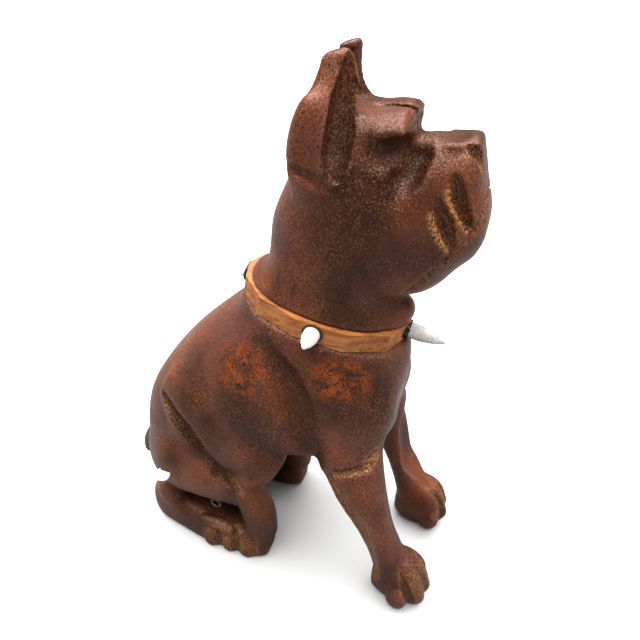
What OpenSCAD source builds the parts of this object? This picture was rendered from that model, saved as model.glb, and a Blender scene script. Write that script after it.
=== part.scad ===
// Carved wooden still bank: a seated dog that looks up, with a spiked collar.
// The dog faces -Y, its right side is -X, and it stands on z = 0. Millimetres.
// Three bores in the body make the coin chamber. Coins go in through a slot in the
// back, and come out when the cover between the hind feet slides forward.

/* [Stance] */
// Half the distance between the front legs' middles
fore_spread = 23; // [22:0.5:26]
// Half the distance between the hind feet's middles
hind_spread = 23; // [22.5:0.5:26]

/* [Collar] */
// Height of the collar's band
collar_h = 8; // [7.5:0.5:8.5]
// Length of the collar, front to back
collar_len = 65.5; // [64.5:0.5:66.5]
// Width of the collar, side to side
collar_wid = 44; // [43:0.5:46]
// How far the collar dips towards the throat, in degrees
collar_tilt = 10; // [9:0.5:11]

/* [Spikes] */
// Diameter of a spike at its foot
spike_d = 6; // [5:0.2:6.6]
// How far a side spike stands out
spike_len = 8.5; // [8:0.5:12]
// How far the front spike stands out
front_spike_len = 14; // [12:1:15]
// How far the short back spike stands out
back_spike_len = 4; // [3.5:0.5:6]

/* [Coin bank] */
// Width of the coin slot
slot_w = 4.4; // [4.2:0.2:5]
// Length of the coin slot
slot_len = 32; // [30:1:34]
// Diameter of each bore of the chamber
bore_d = 17; // [15:0.5:17.5]
// How deep the chamber goes into the body
bore_depth = 56; // [48:1:60]

/* [Coin cover] */
// Width of the sliding cover
cover_w = 20.6; // [19.6:0.2:21]
// Thickness of the sliding cover
cover_t = 3; // [2.6:0.2:3.4]

/* [Hidden] */
$fn = 48;
// sides of a big form, a limb and a wire, and steps between two stations
trunk_sides = 36;
limb_sides = 20;
wire_sides = 24;
loft_steps = 3;
// how far a cut runs past the face that it opens
over = 1;
// edge of a block that is larger than the whole figure
block = 400;

// A station is [x, y, z, half width, half depth, tilt]: an oval across the form,
// whose depth runs front to back and rises towards the back by the tilt.
torso = [
    [0,  34,  22, 17, 29,  0],
    [0,  34,  30, 22, 32, -2],
    [0,  35,  40, 25, 32, -3],
    [0,  31,  54, 27, 34,  2],
    [0,  22,  72, 29, 38,  8],
    [0,  -1,  87, 30, 51,  9],
    [0, -10, 105, 29, 46, 10],
    [0, -18, 120, 27, 40, 10],
    [0, -23, 131, 24, 34.5, collar_tilt],
    [0, -23.5, 139.5, 21, 31.5, collar_tilt]
];
fore_leg = [
    [fore_spread - 1, -67,  2, 8, 8.5, 0],
    [fore_spread - 1, -65, 14, 8.5, 8.5, 0],
    [22.5, -61, 28, 8.5, 8, 0],
    [23.5, -55, 44, 8.5, 8.5, 0],
    [23.5, -48.5, 60, 9.5, 11.5, 5],
    [21.5, -42.5, 76, 10.5, 14, 5],
    [18, -38, 92, 10, 15, 5],
    [15, -34, 106, 8, 12, 10]
];
fore_paw = [
    [fore_spread - 1, -56,  9, 5, 7, 90],
    [fore_spread - 1, -62, 13, 8.5, 13, 90],
    [fore_spread - 1, -70, 13.5, 9.5, 14.5, 90],
    [fore_spread - 1, -77, 12, 8.5, 12, 90],
    [fore_spread - 1, -81, 10, 5, 6.5, 90]
];
thigh = [
    [15,  44, 92,  6, 10, 115],
    [17,  35, 87, 12, 18, 115],
    [18,  23, 81, 14, 23, 115],
    [19,  10, 73, 14, 22, 115],
    [21,  -2, 66, 11, 17, 115],
    [22, -10, 60,  6,  9, 115]
];
rump = [
    [13, 61, 43,  5, 10, 90],
    [14, 55, 44, 10.5, 16.5, 90],
    [18, 45, 47, 13, 21, 90],
    [20, 32, 47, 13, 19, 90],
    [22, 16, 47, 12, 15, 90],
    [23,  4, 48,  9, 12, 90]
];
shank = [
    [23,  0, 12, 8, 8, 0],
    [24,  0, 28, 8.5, 8, 0],
    [25,  2, 40, 8.5, 7.5, 0],
    [25,  4.5, 50, 8, 7, 0],
    [25,  0, 60, 8, 9, 0]
];
hind_foot = [
    [20, 59.5, 11,  4,  8, 90],
    [20.5, 55, 12, 6, 15, 90],
    [21, 44, 8, 7.5, 12, 90],
    [hind_spread, 28, 7, 8.5, 11, 90],
    [hind_spread, 12, 7, 9.5, 11, 90],
    [hind_spread, 2, 6, 9, 10, 90],
    [hind_spread, -5, 5, 6, 6, 90]
];
skull = [
    [0, -23.5, 139.5, 21.5, 32, collar_tilt],
    [0, -24, 144.5, 20.5, 30.5, collar_tilt],
    [0, -26, 151, 19, 25.5, 8],
    [0, -28, 162, 20, 25, 4],
    [0, -31, 176, 21.5, 26, 0],
    [0, -34, 190, 21.5, 23, 0],
    [0, -34.5, 202, 18.5, 19.5, 0],
    [0, -35, 210, 14.5, 15, 0],
    [0, -35, 213.5, 10, 10, 0]
];
muzzle = [
    [0, -30, 178, 19, 24, 90],
    [0, -46, 176, 19.5, 29, 90],
    [0, -56, 179.5, 18, 28, 90],
    [0, -64, 182.5, 16, 25, 90],
    [0, -70, 187, 13, 21.5, 90],
    [0, -74, 182.5, 9.5, 12.5, 90],
    [0, -76.3, 181, 5, 5, 90]
];
brow = [
    [0, -22, 204.5, 13, 8, 90],
    [0, -38, 206, 15.5, 8, 90],
    [0, -50, 207.5, 15, 7.5, 90]
];
ear = [
    [14, -27, 188, 7, 11, 0],
    [15.5, -27, 201, 7.5, 10.5, 0],
    [11.5, -26, 213, 6, 7.5, 0],
    [8.5, -27, 222, 4.5, 5, 0],
    [6.5, -27.5, 230, 3, 3.2, 0]
];
tail = [
    [0, 76, 17, 3.5, 3, 20],
    [0, 74, 26, 4.5, 4, 20],
    [0, 68, 36, 5, 5, 20]
];

// the gouged furrow down the middle of the brow
furrow_at = [0, -45, 214.5];
furrow_w = 3;
furrow_len = 18;

// the collar's middle, and half its outline from the throat round to the nape
collar_at = [0, -23.5, 139.5];
collar_half = [[0, -33.5], [14, -28.5], [23.5, -14], [25, 5], [20, 21], [10, 31], [0, 33.5]];
collar_drawn = [50, 67];

// where each spike stands on the collar's outline, and the way it points
front_seat = [0, -collar_len / 2, -90];
back_seat = [0, collar_len / 2, 90];
side_seat = [collar_wid / 2 - 0.6, -2];
left_seat = [side_seat[0], side_seat[1], 0];
right_seat = [-side_seat[0], side_seat[1], 180];

// a spike's profile past its foot, as shares of its radius and its length
spike_profile = [[1, 0.35], [0.72, 0.7], [0.24, 1]];
spike_foot = 1;
shank_len = 7;

// the glue's seat: width and depth in the collar, and how far the glue stands proud
seat_lip = 0.9;
seat_depth = 1.5;
seat_proud = 0.4;

// dowel through the collar into both blocks, a little shorter than its bores
dowel_d = 12;
dowel_reach = 15;
dowel_play = 0.5;

// the chamber, from the flat between the hind feet
seat_z = 26;
bore_y = 32;
bore_pitch = 12;
pocket = [27.6, 62, 40];
pocket_back = 65;

// the slot, cut square to the sloping back
slot_at = [0, 70, 78];
slot_lean = 38;
slot_in = 40;
slot_out = 20;

// the cover and the two runners that hold it
slide_gap = 0.2;
cover_len = 50;
cover_back = 58;
notch_len = 10;
notch_r = 1.2;
notch_in = 7;
runner_wall = 3.1;
runner_lip = 1.8;
runner_floor = 1.9;
runner_len = 57;
runner_back = 61;
pin_d = 1.4;
pin_head_d = 2.6;
pin_head_h = 0.6;
pin_len = 9;
pin_x = 12.2;
pin_foot_z = seat_z - cover_t - 2 * slide_gap - runner_floor;
pin_ys = [10, 32, 55];

// the screw eye in the flat under the right thigh
eye_at = [-27, 21, 31.3];
eye_d = 4.6;
eye_wire = 1.1;
eye_shank = 8;

function bent(c, e) = sign(c) * pow(abs(c), e);

// one oval ring of points on a station; a low power squares it up
function ring(s, sides, power) = [
    for (i = [0 : sides - 1])
        let (u = bent(cos(360 * i / sides), power), v = bent(sin(360 * i / sides), power))
        [s[0] + s[3] * u, s[1] + s[4] * v * cos(s[5]), s[2] + s[4] * v * sin(s[5])]
];

// a point of the smooth curve through four stations
function curve(a, b, c, d, t) =
    (2 * b + (c - a) * t + (2 * a - 5 * b + 4 * c - d) * pow(t, 2)
        + (3 * b - a - 3 * c + d) * pow(t, 3)) / 2;

function smooth(s) = let (last = len(s) - 1) [
    for (k = [0 : last - 1], j = [0 : loft_steps - 1])
        curve(s[max(k - 1, 0)], s[k], s[k + 1], s[min(k + 2, last)], j / loft_steps),
    s[last]
];

module loft(stations, n, power = 1) {
    path = smooth(stations);
    top = len(path) - 1;
    points = [for (s = path) each ring(s, n, power)];
    walls = [
        for (k = [0 : top - 1], i = [0 : n - 1])
            let (a = k * n + i, b = k * n + (i + 1) % n)
            each [[a, a + n, b + n], [a, b + n, b]]
    ];
    bottom_cap = [for (i = [0 : n - 1]) i];
    top_cap = [for (i = [0 : n - 1]) top * n + n - 1 - i];
    polyhedron(points, concat([bottom_cap], walls, [top_cap]));
}

module both_sides() {
    children();
    mirror([1, 0, 0]) children();
}

module at_collar() {
    translate(collar_at) rotate([collar_tilt, 0, 0]) children();
}

module at_seat(seat) {
    at_collar() translate([seat[0], seat[1], 0]) rotate([0, 0, seat[2]]) rotate([0, 90, 0]) children();
}

module dowel_bore() {
    at_collar() cylinder(d = dowel_d, h = 2 * dowel_reach + collar_h, center = true);
}

module chamber() {
    for (i = [-1 : 1])
        translate([0, bore_y + i * bore_pitch, seat_z - over]) cylinder(d = bore_d, h = bore_depth + over);
}

module coin_slot() {
    translate(slot_at) rotate([slot_lean, 0, 0])
        translate([-slot_w / 2, -slot_in, -slot_len / 2]) cube([slot_w, slot_in + slot_out, slot_len]);
}

// resize() with no new size keeps the blended forms together as one smooth block
module carved_body() {
    resize([0, 0, 0]) union() {
        loft(torso, trunk_sides, 0.9);
        loft(tail, limb_sides);
        both_sides() {
            loft(fore_leg, limb_sides);
            loft(fore_paw, limb_sides, 0.8);
            loft(thigh, limb_sides);
            loft(rump, limb_sides);
            loft(shank, limb_sides);
            loft(hind_foot, limb_sides, 0.8);
        }
    }
}

module body() {
    color("saddlebrown") difference() {
        carved_body();
        translate([0, 0, -block / 2]) cube(block, center = true);
        at_collar() translate([-block / 2, -block / 2, -collar_h / 2]) cube(block);
        translate([-pocket[0] / 2, pocket_back - pocket[1], seat_z - pocket[2]]) cube(pocket);
        chamber();
        coin_slot();
        dowel_bore();
        pin_shanks();
        translate(eye_at) cylinder(d = eye_wire, h = eye_shank);
    }
}

module carved_head() {
    resize([0, 0, 0]) difference() {
        union() {
            loft(skull, trunk_sides, 0.9);
            loft(muzzle, trunk_sides, 0.9);
            loft(brow, trunk_sides, 0.7);
            both_sides() loft(ear, limb_sides, 0.8);
        }
        translate(furrow_at) rotate([0, 45, 0]) cube([furrow_w, furrow_len, furrow_w], center = true);
    }
}

module head() {
    color("saddlebrown") difference() {
        carved_head();
        at_collar() translate([-block / 2, -block / 2, collar_h / 2 - block]) cube(block);
        dowel_bore();
    }
}

module neck_dowel() {
    color("burlywood") at_collar()
        cylinder(d = dowel_d, h = 2 * (dowel_reach - dowel_play) + collar_h, center = true);
}

module collar_outline() {
    k = [collar_wid / collar_drawn[0], collar_len / collar_drawn[1]];
    half = [for (p = collar_half) [p[0] * k[0], p[1] * k[1]]];
    other = [for (i = [len(half) - 2 : -1 : 1]) [-half[i][0], half[i][1]]];
    polygon(concat(half, other));
}

module collar() {
    color("peru") difference() {
        at_collar() translate([0, 0, -collar_h / 2]) linear_extrude(collar_h) collar_outline();
        dowel_bore();
        for (seat = [front_seat, back_seat, left_seat, right_seat]) at_seat(seat) {
            translate([0, 0, -shank_len]) cylinder(d = spike_d, h = 2 * shank_len);
            translate([0, 0, -seat_depth]) cylinder(d = spike_d + 2 * seat_lip, h = 2 * shank_len);
        }
    }
}

module spike(seat, length) {
    r = spike_d / 2;
    foot = [[0, -shank_len], [r, -shank_len], [r, spike_foot]];
    taper = [for (p = spike_profile) [r * p[0], length * p[1]]];
    at_seat(seat) rotate_extrude() polygon(concat(foot, taper, [[0, length]]));
}

module front_spike() {
    color("gainsboro") spike(front_seat, front_spike_len);
}

module right_spike() {
    color("ivory") spike(right_seat, spike_len);
}

module left_spike() {
    color("ivory") spike(left_seat, spike_len);
}

module back_spike() {
    color("ivory") spike(back_seat, back_spike_len);
}

module spike_glue() {
    color("black") for (seat = [front_seat, back_seat, left_seat, right_seat])
        at_seat(seat) translate([0, 0, -seat_depth]) difference() {
            cylinder(d = spike_d + 2 * seat_lip, h = seat_depth + seat_proud);
            translate([0, 0, -over]) cylinder(d = spike_d, h = seat_depth + seat_proud + 2 * over);
        }
}

// a rebated strip: its wall stands beside the cover and its lip runs below it
module runner() {
    wall_x = cover_w / 2 + slide_gap;
    drop = cover_t + 2 * slide_gap;
    color("sienna") difference() {
        translate([wall_x - runner_lip, runner_back - runner_len, pin_foot_z])
            cube([runner_lip + runner_wall, runner_len, drop + runner_floor]);
        translate([0, runner_back - runner_len - over, seat_z - drop])
            cube([wall_x, runner_len + 2 * over, drop + over]);
        pin_shanks();
        pin_heads();
    }
}

module left_runner() {
    runner();
}

module right_runner() {
    mirror([1, 0, 0]) runner();
}

module pin_shanks() {
    for (side = [-1, 1], y = pin_ys)
        translate([side * pin_x, y, pin_foot_z]) cylinder(d = pin_d, h = pin_len);
}

module pin_heads() {
    for (side = [-1, 1], y = pin_ys)
        translate([side * pin_x, y, pin_foot_z]) cylinder(d = pin_head_d, h = pin_head_h);
}

module runner_pins() {
    color("goldenrod") {
        pin_shanks();
        pin_heads();
    }
}

module coin_cover() {
    color("sienna") difference() {
        translate([-cover_w / 2, cover_back - cover_len, seat_z - slide_gap - cover_t])
            cube([cover_w, cover_len, cover_t]);
        translate([-notch_len / 2, cover_back - cover_len + notch_in, seat_z - slide_gap - cover_t])
            rotate([0, 90, 0]) cylinder(r = notch_r, h = notch_len);
    }
}

module screw_eye() {
    color("darkgoldenrod") translate(eye_at) {
        cylinder(d = eye_wire, h = eye_shank);
        translate([0, 0, -eye_d / 2]) rotate([0, 90, 0]) rotate_extrude()
            translate([eye_d / 2, 0]) circle(d = eye_wire, $fn = wire_sides);
    }
}

body();
head();
neck_dowel();
collar();
front_spike();
right_spike();
left_spike();
back_spike();
spike_glue();
left_runner();
right_runner();
runner_pins();
coin_cover();
screw_eye();
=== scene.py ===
"""A carved wooden still bank: a seated dog with a spiked collar.

The two carved blocks are worked like clay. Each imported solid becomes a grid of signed
distances, strokes and ovals add or take wood, and the surface comes back as one mesh.
Sizes in the carving are millimetres in the row frame: +Z up, and the dog faces -Y.
"""
from math import cos, radians, sin

import bpy
import numpy as np
import openvdb as vdb
from mathutils import Euler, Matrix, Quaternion, Vector


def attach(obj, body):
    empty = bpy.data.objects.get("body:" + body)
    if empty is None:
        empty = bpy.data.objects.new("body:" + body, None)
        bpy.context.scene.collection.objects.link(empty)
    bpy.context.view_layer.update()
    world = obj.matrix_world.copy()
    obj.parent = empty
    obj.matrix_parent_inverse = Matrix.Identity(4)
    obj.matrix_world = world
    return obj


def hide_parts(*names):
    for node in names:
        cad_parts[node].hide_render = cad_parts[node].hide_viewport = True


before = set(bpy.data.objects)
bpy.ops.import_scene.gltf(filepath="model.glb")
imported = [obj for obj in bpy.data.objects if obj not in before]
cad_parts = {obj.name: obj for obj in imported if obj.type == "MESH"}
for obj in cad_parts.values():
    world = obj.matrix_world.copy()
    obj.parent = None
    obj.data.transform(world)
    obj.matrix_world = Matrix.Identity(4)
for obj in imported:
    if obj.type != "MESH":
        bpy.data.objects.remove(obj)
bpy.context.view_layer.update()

MM = 0.001


# ------------------------------------------------------------------ carving tools

def smooth_min(a, b, soft):
    """The nearer of two surfaces, rounded over where they are within soft of each other."""
    if soft <= 0:
        return np.minimum(a, b)
    near = np.maximum(soft - np.abs(a - b), 0) / soft
    return np.minimum(a, b) - near * near * soft / 4


def turned(p, centre, turn):
    """Grid coordinates measured from centre, along axes turned by three angles in degrees."""
    q = [p[k] - centre[k] for k in range(3)]
    m = np.array(Euler([radians(t) for t in turn]).to_matrix())
    return [q[0] * m[0][k] + q[1] * m[1][k] + q[2] * m[2][k] for k in range(3)]


class Oval:
    """An ellipsoid."""

    def __init__(self, centre, radii, turn=(0, 0, 0)):
        self.centre, self.radii, self.turn = centre, radii, turn
        self.low = np.array(centre) - max(radii)
        self.high = np.array(centre) + max(radii)

    def distance(self, p):
        q = turned(p, self.centre, self.turn)
        inner = np.sqrt(sum((q[k] / self.radii[k]) ** 2 for k in range(3)))
        slope = np.sqrt(sum((q[k] / self.radii[k] ** 2) ** 2 for k in range(3)))
        return inner * (inner - 1) / np.maximum(slope, 1e-6)


class Slab:
    """A box with rounded edges."""

    def __init__(self, centre, half, turn=(0, 0, 0), edge=0):
        self.centre, self.half, self.turn, self.edge = centre, half, turn, edge
        reach = np.linalg.norm(half)
        self.low, self.high = np.array(centre) - reach, np.array(centre) + reach

    def distance(self, p):
        q = turned(p, self.centre, self.turn)
        out = [np.abs(q[k]) - self.half[k] + self.edge for k in range(3)]
        outside = np.sqrt(sum(np.maximum(o, 0) ** 2 for o in out))
        inside = np.minimum(np.maximum(np.maximum(out[0], out[1]), out[2]), 0)
        return outside + inside - self.edge


class Stroke:
    """A round tool drawn through stations [x, y, z, radius]."""

    def __init__(self, *stations):
        self.s = np.array(stations, float)
        self.low = (self.s[:, :3] - self.s[:, 3:]).min(0)
        self.high = (self.s[:, :3] + self.s[:, 3:]).max(0)

    def distance(self, p):
        found = None
        for a, b in zip(self.s, self.s[1:]):
            along = b[:3] - a[:3]
            t = sum((p[k] - a[k]) * along[k] for k in range(3)) / (along @ along)
            t = np.clip(t, 0, 1)
            away = np.sqrt(sum((p[k] - a[k] - along[k] * t) ** 2 for k in range(3)))
            away = away - a[3] - (b[3] - a[3]) * t
            found = away if found is None else np.minimum(found, away)
        return found


# Shapes are placed on the dog's left, where x is positive, and mirrored onto its right.
LEFT = (1,)
RIGHT = (-1,)
BOTH = (1, -1)
MIDDLE = (1,)

# raw is bare tan wood, dark is painted shade and wax in the low places, worn is orange from
# handling
MASKS = ("raw", "dark", "worn")
CUT_BLEED = 0.9       # how far a cut's paint runs past it
GRID_MARGIN = 2       # how far past its own softness a shape touches the grid
HOLLOW_PASSES = 14    # how widely the surface is averaged to tell hollows from ridges


class Clay:
    """A carved block: signed distances on a grid, and a paint mask for each finish."""

    def __init__(self, node, voxel, band=6.0):
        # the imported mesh, as points in millimetres and triangles
        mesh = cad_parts[node].data
        mesh.calc_loop_triangles()
        points = np.empty(len(mesh.vertices) * 3, np.float32)
        mesh.vertices.foreach_get("co", points)
        points = points.reshape(-1, 3) / MM
        corners = np.empty(len(mesh.loop_triangles) * 3, np.int32)
        mesh.loop_triangles.foreach_get("vertices", corners)
        # a grid of distances to it, exact within band and level past it
        self.voxel, self.band = voxel, band
        self.low = points.min(0) - band
        size = np.ceil((points.max(0) + band - self.low) / voxel).astype(int) + 1
        level_set = vdb.FloatGrid.createLevelSetFromPolygons(
            ((points - self.low) / voxel).astype(np.float32),
            triangles=corners.reshape(-1, 3).astype(np.uint32), halfWidth=band / voxel)
        self.field = np.full(size, band, np.float32)
        level_set.copyToArray(self.field)
        self.field *= voxel
        self.paint = {name: np.zeros(size, np.float32) for name in MASKS}

    def part(self, shape, side, reach):
        """The slices of the grid round a shape, and their coordinates seen from that side."""
        low, high = shape.low - reach, shape.high + reach
        if side < 0:
            low, high = low * [-1, 1, 1], high * [-1, 1, 1]
            low[0], high[0] = high[0], low[0]
        first = np.clip(np.floor((low - self.low) / self.voxel), 0, self.field.shape)
        last = np.clip(np.ceil((high - self.low) / self.voxel) + 1, 0, self.field.shape)
        slices = tuple(slice(int(a), int(b)) for a, b in zip(first, last))
        axes = [self.low[k] + self.voxel * np.arange(s.start, s.stop, dtype=np.float32)
                for k, s in enumerate(slices)]
        p = np.meshgrid(*axes, indexing="ij", sparse=True)
        p[0] = p[0] * side
        return slices, p

    def add(self, shape, soft=3.0, sides=BOTH):
        """Adds a lump, blended over soft."""
        for side in sides:
            slices, p = self.part(shape, side, soft + GRID_MARGIN)
            self.field[slices] = smooth_min(self.field[slices], shape.distance(p), soft)

    def cut(self, shape, soft=1.0, sides=BOTH, raw=0.0, dark=0.0):
        """Takes wood away, and paints what the cut leaves; its dark paint is painted shade."""
        for side in sides:
            slices, p = self.part(shape, side, soft + GRID_MARGIN)
            away = shape.distance(p)
            self.field[slices] = -smooth_min(-self.field[slices], away, soft)
            for name, strength in (("raw", raw), ("dark", dark)):
                self.cover(name, slices, away, strength, CUT_BLEED)

    def tint(self, name, shape, strength=1.0, fade=4.0, sides=BOTH):
        """Paints a mask round a shape, fading out over fade."""
        for side in sides:
            slices, p = self.part(shape, side, fade)
            self.cover(name, slices, shape.distance(p), strength, fade)

    def cover(self, name, slices, away, strength, fade):
        if strength:
            level = strength * np.clip(1 - away / fade, 0, 1)
            self.paint[name][slices] = np.maximum(self.paint[name][slices], level)

    def soften(self, passes):
        """Rounds every edge over, as sanding does."""
        self.field = blurred(self.field, passes)

    def mesh(self, name):
        """The surface as a smooth mesh in metres, with the masks on its points."""
        grid = vdb.FloatGrid(self.band)
        grid.copyFromArray(self.field)
        points, _, quads = grid.convertToPolygons(isovalue=0.0, adaptivity=0.0)
        hollow = self.field - blurred(self.field, HOLLOW_PASSES)
        mesh = bpy.data.meshes.new(name)
        mesh.from_pydata(((points * self.voxel + self.low) * MM).tolist(), [], quads.tolist())
        mesh.validate()
        for mask, grid_values in {**self.paint, "hollow": hollow}.items():
            layer = mesh.attributes.new(mask, "FLOAT", "POINT")
            layer.data.foreach_set("value", sampled(grid_values, points))
        mesh.shade_smooth()
        return mesh


def blurred(field, passes):
    """The grid averaged with its neighbours, that many times over."""
    field = field.copy()
    for _ in range(passes):
        for axis in range(3):
            f = np.moveaxis(field, axis, 0)
            middle = f[1:-1] / 2 + (f[:-2] + f[2:]) / 4
            f[1:-1] = middle
    return field


def sampled(values, points):
    """Grid values at points given in grid steps, by linear interpolation."""
    cell = np.clip(np.floor(points).astype(int), 0, np.array(values.shape) - 2)
    t = points - cell
    found = np.zeros(len(points), np.float32)
    for corner in np.ndindex(2, 2, 2):
        weight = np.prod([t[:, k] if corner[k] else 1 - t[:, k] for k in range(3)], 0)
        i, j, k = (cell + corner).T
        found += weight * values[i, j, k]
    return found


def piece(name, mesh, body, node, slot):
    """Links a mesh as a piece that rides on a body and stands for a CAD node."""
    made = bpy.data.objects.new(name, mesh)
    bpy.context.scene.collection.objects.link(made)
    mesh.materials.append(SLOTS[slot])
    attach(made, body)
    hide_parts(node)
    return made


# ------------------------------------------------------------------ materials

class Finish:
    """A material built node by node. An input is a plain value or another node's output."""

    def __init__(self, name):
        self.material = bpy.data.materials.new(name)
        self.material.use_nodes = True
        self.tree = self.material.node_tree
        self.shader = self.tree.nodes["Principled BSDF"]
        self.where = self.tree.nodes.new("ShaderNodeTexCoord").outputs["Object"]

    def node(self, kind, inputs, **settings):
        made = self.tree.nodes.new("ShaderNode" + kind)
        for key, value in settings.items():
            setattr(made, key, value)
        for key, value in inputs.items():
            self.feed(made.inputs[key], value)
        return made

    def feed(self, socket, value):
        if isinstance(value, bpy.types.NodeSocket):
            self.tree.links.new(value, socket)
        elif isinstance(value, tuple) and len(socket.default_value) == 4:
            socket.default_value = (*value, 1)
        else:
            socket.default_value = value

    def set(self, **inputs):
        """Feeds the shader's inputs: base_color= is its Base Color."""
        for key, value in inputs.items():
            title = key.replace("_", " ").title().replace("Ior", "IOR")
            self.feed(self.shader.inputs[title], value)

    def noise(self, scale, detail=2.0, stretch=(1, 1, 1), twist=0.0):
        """Noise of features about 1 / scale metres long; a stretch under 1 draws it out."""
        where = self.node("Mapping", {"Vector": self.where, "Scale": stretch}).outputs[0]
        made = self.node("TexNoise", {"Vector": where, "Scale": scale, "Detail": detail,
                                      "Distortion": twist})
        return made.outputs["Fac"]

    def mask(self, name):
        return self.node("Attribute", {}, attribute_name=name).outputs["Fac"]

    def ramp(self, value, low, high, bottom=0.0, top=1.0):
        """Runs from bottom at low to top at high, and stays there past both."""
        made = self.node("MapRange", {"Value": value, "From Min": low, "From Max": high,
                                      "To Min": bottom, "To Max": top})
        return made.outputs["Result"]

    def sum(self, kind, a, b):
        return self.node("Math", {0: a, 1: b}, operation=kind).outputs[0]

    def mix(self, share, a, b, blend="MIX"):
        made = self.node("Mix", {0: share, 6: a, 7: b}, data_type="RGBA", blend_type=blend)
        return made.outputs[2]

    def bump(self, height, strength, distance):
        made = self.node("Bump", {"Height": height, "Strength": strength, "Distance": distance})
        self.feed(self.shader.inputs["Normal"], made.outputs["Normal"])


def stained_wood():
    """Brown stain under wax: darker in pores, painted shade in hollows, ridges lighter from
    rubbing and painted highlight, orange where handling wore it.
    """
    f = Finish("stained_wood")
    plum, russet = (0.126, 0.046, 0.035), (0.172, 0.050, 0.021)
    orange, gold = (0.30, 0.070, 0.012), (0.52, 0.250, 0.095)
    shade, pitch = (0.020, 0.007, 0.0035), (0.014, 0.005, 0.0025)
    patches = f.noise(30, 3)
    fine = f.noise(1400, 3)
    hairs = f.noise(1900, 2, (1, 1, 0.5), 0.5)
    hollow = f.mask("hollow")
    worn = f.sum("MULTIPLY", f.mask("worn"), f.ramp(f.noise(210, 3), 0.36, 0.56))
    # the stain itself, clouded, with light flecks
    tone = f.mix(f.ramp(patches, 0.40, 0.62), plum, russet)
    tone = f.mix(f.ramp(f.noise(42, 3, (1, 1, 0.6)), 0.56, 0.38, 0, 0.75), tone, shade)
    flecked = f.sum("MULTIPLY", f.ramp(fine, 0.52, 0.64),
                    f.ramp(f.noise(60, 3), 0.38, 0.60, 0.15, 1))
    tone = f.mix(f.sum("MULTIPLY", flecked, 0.55), tone, (0.32, 0.12, 0.042))
    # ridges lightened as rubbed wear and painted highlight, painted shade in the hollows, and
    # painted shade with wax where the dark mask lies
    tone = f.mix(f.ramp(hollow, -0.22, -0.9, 0, 0.45), tone, (0.26, 0.125, 0.085))
    tone = f.mix(f.ramp(hollow, 0.10, 0.7, 0, 0.85), tone, shade)
    tone = f.mix(f.sum("MULTIPLY", f.mask("dark"), f.ramp(fine, 0.64, 0.50)), tone, shade)
    # worn patches with dark swirls left in them, then raw cuts
    tone = f.mix(worn, tone, orange)
    swirls = f.ramp(f.noise(420, 4, (1, 1, 0.7), 2.5), 0.49, 0.42, 0, 0.85)
    tone = f.mix(f.sum("MULTIPLY", f.mask("worn"), swirls), tone, shade)
    tone = f.mix(f.sum("MULTIPLY", f.mask("raw"), f.ramp(fine, 0.40, 0.56)), tone, gold)
    # open pores, darker in places
    pores = f.ramp(hairs, 0.46, 0.38)
    dense = f.ramp(f.noise(45, 3), 0.40, 0.60, 0.25, 0.85)
    tone = f.mix(f.sum("MULTIPLY", pores, dense), tone, pitch)
    f.set(base_color=tone, roughness=f.ramp(f.noise(70, 3), 0.35, 0.7, 0.26, 0.42),
          specular_ior_level=0.5, specular_tint=(1.0, 0.70, 0.57))
    f.bump(f.sum("SUBTRACT", fine, pores), 0.5, 0.0005)
    return f.material


def grained_wood(name, light, dark, along):
    """Bare wood; along is the stretch that draws its grain out."""
    f = Finish(name)
    grain = f.noise(420, 4, along, 0.4)
    pores = f.ramp(f.noise(1100, 2, along), 0.40, 0.31)
    tone = f.mix(f.ramp(grain, 0.38, 0.62), dark, light)
    tone = f.mix(f.sum("MULTIPLY", pores, 0.7), tone, tuple(c * 0.25 for c in dark))
    f.set(base_color=tone, roughness=f.ramp(grain, 0.3, 0.7, 0.62, 0.5))
    f.bump(grain, 0.25, 0.0003)
    return f.material


def horn_like(name, light, stain, specks):
    """Bone or horn; specks runs from 0 to 1."""
    f = Finish(name)
    tone = f.mix(f.ramp(f.noise(260, 3), 0.40, 0.68), light, stain)
    tone = f.mix(f.ramp(f.noise(1500, 2), 0.60, 0.68, 0, specks), tone, (0.05, 0.045, 0.04))
    f.set(base_color=tone, roughness=0.38)
    f.bump(f.noise(600, 2), 0.2, 0.0003)
    return f.material


def metal(name, bright, dull):
    f = Finish(name)
    f.set(base_color=f.mix(f.ramp(f.noise(500, 3), 0.4, 0.6), bright, dull), metallic=1.0,
          roughness=f.ramp(f.noise(800, 2), 0.3, 0.7, 0.3, 0.6))
    return f.material


def glue():
    f = Finish("black_glue")
    f.set(base_color=f.mix(f.noise(700, 2), (0.012, 0.011, 0.010), (0.03, 0.026, 0.022)),
          roughness=0.3)
    f.bump(f.noise(900, 2), 0.5, 0.0004)
    return f.material


def paper(name, white, thrown):
    """White paper to the camera; thrown is how bright the light it throws back is."""
    f = Finish(name)
    seen = f.node("LightPath", {}).outputs["Is Camera Ray"]
    f.set(base_color=f.mix(seen, (thrown, thrown, thrown), (white, white, white)), roughness=0.7,
          specular_ior_level=0.1)
    return f.material


ALONG_Y, ALONG_Z = (1, 0.12, 1), (1, 1, 0.12)
SLOTS = {
    "stained_wood": stained_wood(),
    "bare_wood": grained_wood("bare_wood", (0.50, 0.200, 0.060), (0.31, 0.105, 0.028), ALONG_Y),
    "dowel_wood": grained_wood("dowel_wood", (0.55, 0.36, 0.18), (0.40, 0.23, 0.10), ALONG_Z),
    "runner_wood": grained_wood("runner_wood", (0.32, 0.16, 0.07), (0.20, 0.09, 0.035), ALONG_Y),
    "horn": horn_like("horn", (0.62, 0.60, 0.57), (0.45, 0.42, 0.38), 0.8),
    "bone": horn_like("bone", (1.0, 0.98, 0.94), (0.95, 0.90, 0.80), 0.2),
    "black_glue": glue(),
    "brass": metal("brass", (0.62, 0.42, 0.16), (0.34, 0.22, 0.09)),
    "eye_brass": metal("eye_brass", (0.22, 0.18, 0.13), (0.11, 0.08, 0.055)),
}


# ------------------------------------------------------------------ the head

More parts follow.
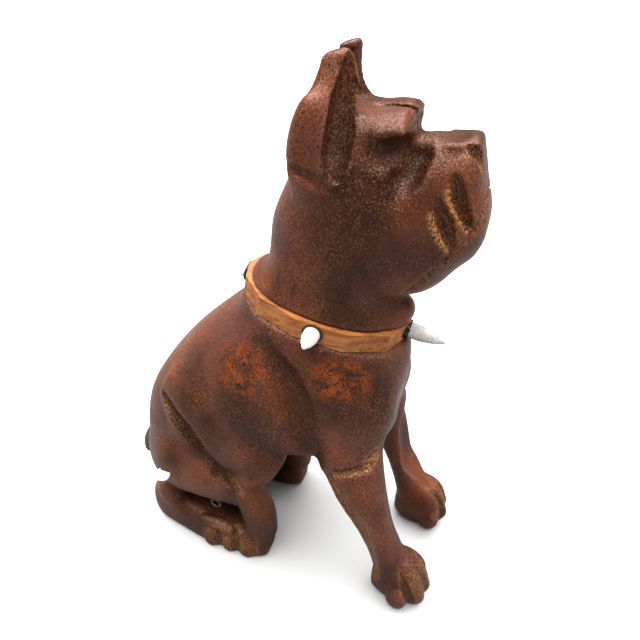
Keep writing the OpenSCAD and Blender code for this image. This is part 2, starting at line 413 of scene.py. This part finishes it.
def carve_head():
    clay = Clay("head", voxel=0.6)
    clay.soften(5)
    shape_muzzle(clay)
    shape_brow(clay)
    shape_ears(clay)
    gouge_face(clay)
    return clay.mesh("carved_head")


def shape_muzzle(clay):
    # nose block, with the low saddle between it and the brow
    clay.add(Slab((0, -65.4, 201.8), (7.2, 4.8, 5.8), (0, 0, 0), 1.2), 2, MIDDLE)
    clay.cut(Stroke([-20, -61, 221, 13.8], [20, -61, 221, 13.8]), 0.6, MIDDLE)
    # lips and chin
    clay.add(Oval((4, -64.6, 181), (11, 9.8, 14.5), (12, 0, 0)), 4)
    # throat lump over the collar, and the hollow under the jaw
    clay.add(Oval((0, -49, 142), (9, 8, 6)), 3, MIDDLE)
    clay.cut(Stroke([0, -59, 151, 4], [12, -55, 151, 3.5], [22, -43, 151, 3]), 3)


def shape_brow(clay):
    # a lump over each eye, made squarer by a slab
    clay.add(Oval((7.5, -44.5, 209.2), (8.5, 5.8, 4.2)), 2)
    clay.add(Slab((6.8, -45.8, 209.3), (7.2, 5, 3.4), (0, 14, 0), 0.6), 1.2)
    # the brow's front face stands square over the muzzle
    clay.cut(Slab((0, -56.4, 216.6), (20, 6, 6)), 0.2, MIDDLE)
    # hollow behind the brow, in front of the ears
    clay.cut(Stroke([0, -34, 224, 8], [7, -36, 221, 6], [13, -40, 219, 4]), 3)
    # eye sockets: a soft hollow under the brow, and a gouge down beside the muzzle, both darkened
    # with painted shade
    clay.cut(Stroke([12.4, -50.6, 205.4, 4.2], [19.2, -44.4, 205.2, 4.6]), 2.5, dark=0.3)
    clay.cut(Stroke([5.6, -54.6, 209, 1.8], [9.8, -53.8, 204.6, 4.2], [14.8, -52, 199, 4.4],
                    [19, -50.2, 193.6, 3]), 2, dark=0.9)
    clay.tint("dark", Oval((16.6, -47.5, 200), (3, 4.5, 8)), 0.9, 6)


def shape_ears(clay):
    clay.add(Stroke([17, -26, 196, 7], [15.5, -26.5, 204, 6.5], [11.5, -26, 214, 5],
                    [8.7, -26.5, 222, 3.8], [6.6, -27.4, 228, 2.4]), 2)
    # the right ear has a broad tip and a full back, and its front rim stands further out
    clay.add(Stroke([8, -25.6, 226, 2.2], [7.4, -29, 228, 2]), 1.5, RIGHT)
    clay.add(Oval((17.6, -22.4, 207.5), (4.2, 4.8, 12), (7, 0, 0)), 6, RIGHT)
    clay.add(Stroke([6.8, -30.6, 227.4, 2], [8.6, -31.8, 222.5, 2.8], [10.6, -31.8, 218.5, 3],
                    [13, -32, 213, 3.4], [17, -31, 206, 3.6]), 1.5, RIGHT)
    # the hollow down the front of the ear, darkened with painted shade
    clay.cut(Stroke([7.6, -32, 229.6, 1], [9.4, -32.2, 226.2, 2.3], [11.2, -32.3, 222, 3.2],
                    [13.4, -32.1, 218, 4], [16.4, -32.3, 212, 4.4], [20.2, -32.3, 205, 4.4],
                    [22.6, -32.6, 198.5, 3]), 0.4, raw=0.08, dark=0.7)
    # the tips are cut off aslant, high in front
    clay.cut(Slab((6, -24.6, 236), (8, 12, 7), (-18, 0, 0)), 0.5)
    # crease under the ear
    clay.cut(Stroke([20.5, -14, 199.5, 2], [22.4, -18, 198.8, 2.6], [24.9, -22.7, 198.2, 2.8],
                    [25.4, -27.4, 196.6, 2.8], [23.8, -32, 194, 2.2]), 1.2)


def gouge_face(clay):
    # furrow between the brows, with painted shade in it
    clay.cut(Stroke([0, -37, 214.2, 1], [0, -44, 213.4, 1.4], [0, -52, 213.4, 1.7]), 0.2, MIDDLE,
             raw=0.2, dark=0.8)
    # nostrils, two meeting nicks with painted shade in them
    clay.cut(Stroke([7.8, -66.6, 208.2, 1], [6.6, -72.4, 204.2, 2.7],
                    [5.2, -74.4, 200.4, 1.4]), 0.2, raw=0.2, dark=0.9)
    clay.tint("raw", Stroke([7.6, -66.4, 204.6, 0.5], [6.6, -71.4, 200.8, 0.6]), 1, 1)
    # whisker flutes, with painted shade in them
    clay.cut(Stroke([13, -65.8, 199.6, 1.8], [14.2, -68, 193.5, 3], [12.4, -71.6, 185, 1.5]), 0.2,
             raw=0.12, dark=0.65)
    clay.cut(Stroke([16.2, -62.2, 193, 1.6], [16.3, -65.2, 186.5, 3], [15.4, -68, 178, 1.3]), 0.2,
             raw=0.12, dark=0.65)
    clay.tint("raw", Stroke([13.6, -64.3, 195.6, 0.6], [14.3, -66.8, 190, 0.8],
                            [12.6, -71, 184, 0.6]), 1, 1)
    clay.tint("raw", Stroke([16.6, -60.6, 188.6, 0.6], [16.8, -62.6, 183.6, 0.8],
                            [16, -66.6, 177.6, 0.6]), 1, 1)
    # the line between the upper lip and the jaw, with painted shade in it
    clay.cut(Stroke([0, -74.6, 194.5, 0.8], [5, -75, 191.6, 1], [9.6, -74.9, 186.6, 1.1],
                    [13.7, -71.4, 179.8, 1.1], [15.3, -64.2, 170.4, 1.1],
                    [13.6, -54, 156.6, 0.9]), 0.2, raw=0.3, dark=0.3)
    # a band of painted shade under the overhanging lip
    clay.tint("dark", Stroke([8, -76, 180, 1], [12.6, -72, 174.5, 1], [14, -65, 166, 1],
                             [12, -56, 155, 1]), 0.5, 3)
    # painted shade and wax in the low places
    clay.tint("dark", Oval((21.5, -34, 196), (2, 2, 3)), 1, 4)
    clay.tint("dark", Oval((21, -41, 189), (3, 8, 4)), 0.55, 8)
    clay.tint("dark", Oval((17, -59, 173), (3, 7, 6)), 0.55, 8)


# ------------------------------------------------------------------ the body

def carve_body():
    clay = Clay("body", voxel=0.7)
    clay.soften(7)
    shape_haunch(clay)
    shape_chest(clay)
    shape_fore_legs(clay)
    shape_hind_feet(clay)
    open_bank(clay)
    return clay.mesh("carved_body")


def shape_haunch(clay):
    # crease between the haunch and the rump, with painted shade down it
    clay.cut(Stroke([23.5, 45, 91, 2.2], [28.1, 37, 87.4, 4], [31.4, 29, 80.8, 5],
                    [32.4, 21, 67.5, 5.2], [32.3, 14, 58, 4.8], [34.2, 5.5, 51, 2.8]), 0.4,
             raw=0.1, dark=1.0)
    clay.tint("raw", Stroke([24.5, 43, 88, 1], [28, 37, 84, 1.2]), 0.35, 2)
    clay.tint("raw", Stroke([31, 12, 58, 2], [32.6, 4, 52, 2]), 0.6, 2)
    # painted shade down the crease
    clay.tint("dark", Stroke([30, 31, 78, 2.5], [31, 24, 68, 3], [31, 16, 60, 2]), 1, 3)
    # a worn patch on the right haunch, darker round it
    clay.tint("worn", Oval((26, 2, 117), (9, 6, 7)), 1, 7, RIGHT)
    clay.tint("dark", Oval((31, -2, 100), (6, 9, 10)), 0.5, 10, RIGHT)
    # painted shadow in the cavity under the rump, and the hind foot darker low down
    clay.tint("dark", Oval((24, 27, 27), (10, 16, 7)), 1, 4)
    clay.tint("dark", Oval((27, 22, 10), (6, 24, 8)), 0.5, 8)
    clay.tint("raw", Oval((31, 12, 12), (3, 12, 6)), 0.3, 4)


def shape_chest(clay):
    # valley behind the shoulder, with painted shade down it
    clay.cut(Stroke([27.4, -5, 131, 5.6], [29.8, -16, 120, 7.2],
                    [30.6, -21.4, 108, 7.2], [31, -24.6, 96, 6.8], [31, -27, 82, 5]), 3)
    clay.tint("dark", Stroke([26, -8, 130, 2], [28, -18, 118, 3], [29, -23, 104, 3],
                             [29, -26, 88, 1]), 0.85, 9)
    # painted shade on the side of the chest under the head
    clay.tint("dark", Oval((22, -42, 112), (9, 13, 8)), 0.7, 9)
    # the chest's bulge, and a worn patch on the right
    clay.add(Oval((14, -44, 100), (12, 12, 16), (10, 0, 0)), 6)
    clay.tint("worn", Oval((23, -37, 122), (8, 8, 5)), 1, 6, RIGHT)


def shape_fore_legs(clay):
    # crease over the elbow, with painted shade in it, ending in a flat chip under the shoulder
    clay.cut(Stroke([31.8, -32, 76, 1.4], [31.8, -38.5, 80, 2.1], [31, -44, 82.4, 2.1],
                    [28.6, -49.8, 83.8, 2.4]), 0.5, raw=0.4, dark=0.4)
    clay.cut(Stroke([28.4, -50.6, 84.2, 2.8], [25, -53.6, 88.2, 3.4], [21, -56, 92, 2]), 0.3,
             raw=0.7)
    # facet down the back of the leg
    clay.cut(Stroke([35.6, -33, 70, 10], [37.7, -38.2, 62, 10], [37.5, -45.2, 52, 10],
                    [35.8, -49.5, 33, 10], [33.6, -51.2, 17, 10]), 0.2, raw=0.5)
    # the left leg is thinner in front than the right one
    clay.cut(Stroke([24, -68, 82, 12], [24, -64, 64, 12], [23, -67.8, 44, 12],
                    [23, -74, 36.5, 11]), 1.5, LEFT)
    # toes
    for x, y, z in ((14.8, -74.5, 8), (20.8, -77.6, 9), (27, -76.4, 9), (31, -69.6, 8)):
        clay.add(Oval((x, y, z), (3.4, 5, 7)), 1)
        clay.tint("raw", Oval((x, y - 4.6, z + 5), (1.4, 2, 2.5)), 0.45, 2)
    # grooves between the toes, with painted shade in them
    clay.cut(Stroke([29.2, -69, 25, 0.8], [30.4, -71.6, 20, 1.5], [30.6, -75.2, 10, 2.1],
                    [30.6, -75.6, 0, 2.1]), 0.5, raw=0.4, dark=0.7)
    clay.cut(Stroke([24, -74, 27, 0.8], [24.6, -78.8, 21, 1.5], [24.4, -81.8, 12, 2.2],
                    [24.4, -82, 0, 2.2]), 0.5, raw=0.4, dark=0.7)
    clay.cut(Stroke([18, -74, 26, 0.8], [17.9, -78.8, 19, 1.5], [17.6, -80.8, 10, 2.2],
                    [17.6, -80.8, 0, 2.2]), 0.5, raw=0.4, dark=0.7)
    # handled toes: dark wax with raw flecks showing through
    clay.tint("dark", Oval((24, -70, 12), (9, 9, 12)), 0.4, 8)
    clay.tint("raw", Oval((25, -76, 14), (7, 3, 7)), 0.3, 5)


def shape_hind_feet(clay):
    # web between the rump and the heel, and the notch behind it
    clay.add(Oval((21.5, 47.5, 23), (8, 8, 11)), 2)
    clay.cut(Stroke([34, 41, 50, 2], [29.5, 45.5, 43, 3.1], [16, 58, 21.4, 3.9],
                    [9, 64, 11.3, 3.2]), 0.5)
    # pad on top of the foot
    clay.add(Oval((28.4, 17, 14.6), (3.4, 13, 3.6), (8, 0, 0)), 0.6)
    # toes
    for y in (5, 14.5, 24):
        clay.add(Oval((30, y, 6), (3.4, 4.4, 7)), 1)
    # grooves between the toes, with painted shade in them
    for y in (19, 10, 0):
        clay.cut(Stroke([28.4, y + 1, 17, 0.9], [32.2, y, 11.5, 2], [33.4, y, 0, 2.5]), 0.3,
                 raw=0.5, dark=0.4)


def open_bank(clay):
    # the flat pocket for the cover, cut clean, and the flat soles
    clay.cut(Slab((0, 34, 6), (13.8, 31, 20)), 0, MIDDLE)
    clay.cut(Slab((0, 0, -10), (60, 100, 10)), 0, MIDDLE)


# ------------------------------------------------------------------ the pieces

piece("carved_head", carve_head(), "dog", "head", "stained_wood")
piece("carved_body", carve_body(), "dog", "body", "stained_wood")

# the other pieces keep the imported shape, and take these finishes
FINISHES = {
    "neck_dowel": "dowel_wood", "collar": "bare_wood", "front_spike": "horn",
    "right_spike": "bone", "left_spike": "bone", "back_spike": "bone", "spike_glue": "black_glue",
    "left_runner": "runner_wood", "right_runner": "runner_wood", "runner_pins": "brass",
    "coin_cover": "runner_wood", "screw_eye": "eye_brass",
}
for name, slot in FINISHES.items():
    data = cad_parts[name].data
    data.materials.clear()
    data.materials.append(SLOTS[slot])


# ------------------------------------------------------------------ studio

def stage_floor():
    size = 4.0
    mesh = bpy.data.meshes.new("floor")
    mesh.from_pydata([(x * size, y * size, 0) for x, y in ((-1, -1), (1, -1), (1, 1), (-1, 1))],
                     [], [(0, 1, 2, 3)])
    floor = bpy.data.objects.new("floor", mesh)
    bpy.context.scene.collection.objects.link(floor)
    mesh.materials.append(paper("floor", 0.56, 0.24))


def soft_sun(lean_x, lean_y, width, strength):
    """A wide white light from above, leaning from the vertical by two angles in degrees."""
    data = bpy.data.lights.new("soft_sun", "SUN")
    data.angle, data.energy = radians(width), strength
    made = bpy.data.objects.new("soft_sun", data)
    bpy.context.scene.collection.objects.link(made)
    made.rotation_euler = (radians(lean_x), radians(lean_y), 0)


def camera():
    """Stands to the dog's right and a little in front, looking down at it from close by."""
    azimuth, elevation, roll = radians(-70.5), radians(36.5), radians(0.65)
    aim, away = Vector((0, -0.0207, 0.129)), 0.2345
    back = Vector((sin(azimuth) * cos(elevation), -cos(azimuth) * cos(elevation), sin(elevation)))
    data = bpy.data.cameras.new("camera")
    data.lens, data.sensor_width = 33.75, 36
    data.clip_start = 0.01
    made = bpy.data.objects.new("camera", data)
    bpy.context.scene.collection.objects.link(made)
    made.rotation_mode = "QUATERNION"
    made.rotation_quaternion = back.to_track_quat("Z", "Y") @ Quaternion((0, 0, 1), roll)
    made.location = aim + back * away
    bpy.context.scene.camera = made


def surroundings(thrown):
    """White to the camera; thrown is how strongly they light the object."""
    world = bpy.data.worlds.new("studio")
    world.use_nodes = True
    nodes, links = world.node_tree.nodes, world.node_tree.links
    seen = nodes.new("ShaderNodeLightPath").outputs["Is Camera Ray"]
    strength = nodes.new("ShaderNodeMapRange")
    strength.inputs["To Min"].default_value = thrown
    strength.inputs["To Max"].default_value = 1.0
    links.new(seen, strength.inputs["Value"])
    nodes["Background"].inputs["Color"].default_value = (1, 1, 1, 1)
    links.new(strength.outputs["Result"], nodes["Background"].inputs["Strength"])
    bpy.context.scene.world = world


stage_floor()
# a broad light from above, and a weak one from in front
soft_sun(lean_x=-8, lean_y=7, width=88, strength=8.4)
soft_sun(lean_x=56, lean_y=-12, width=50, strength=0.8)
surroundings(0.12)
bpy.context.scene.view_settings.view_transform = "Standard"
bpy.context.scene.view_settings.look = "Medium High Contrast"
camera()
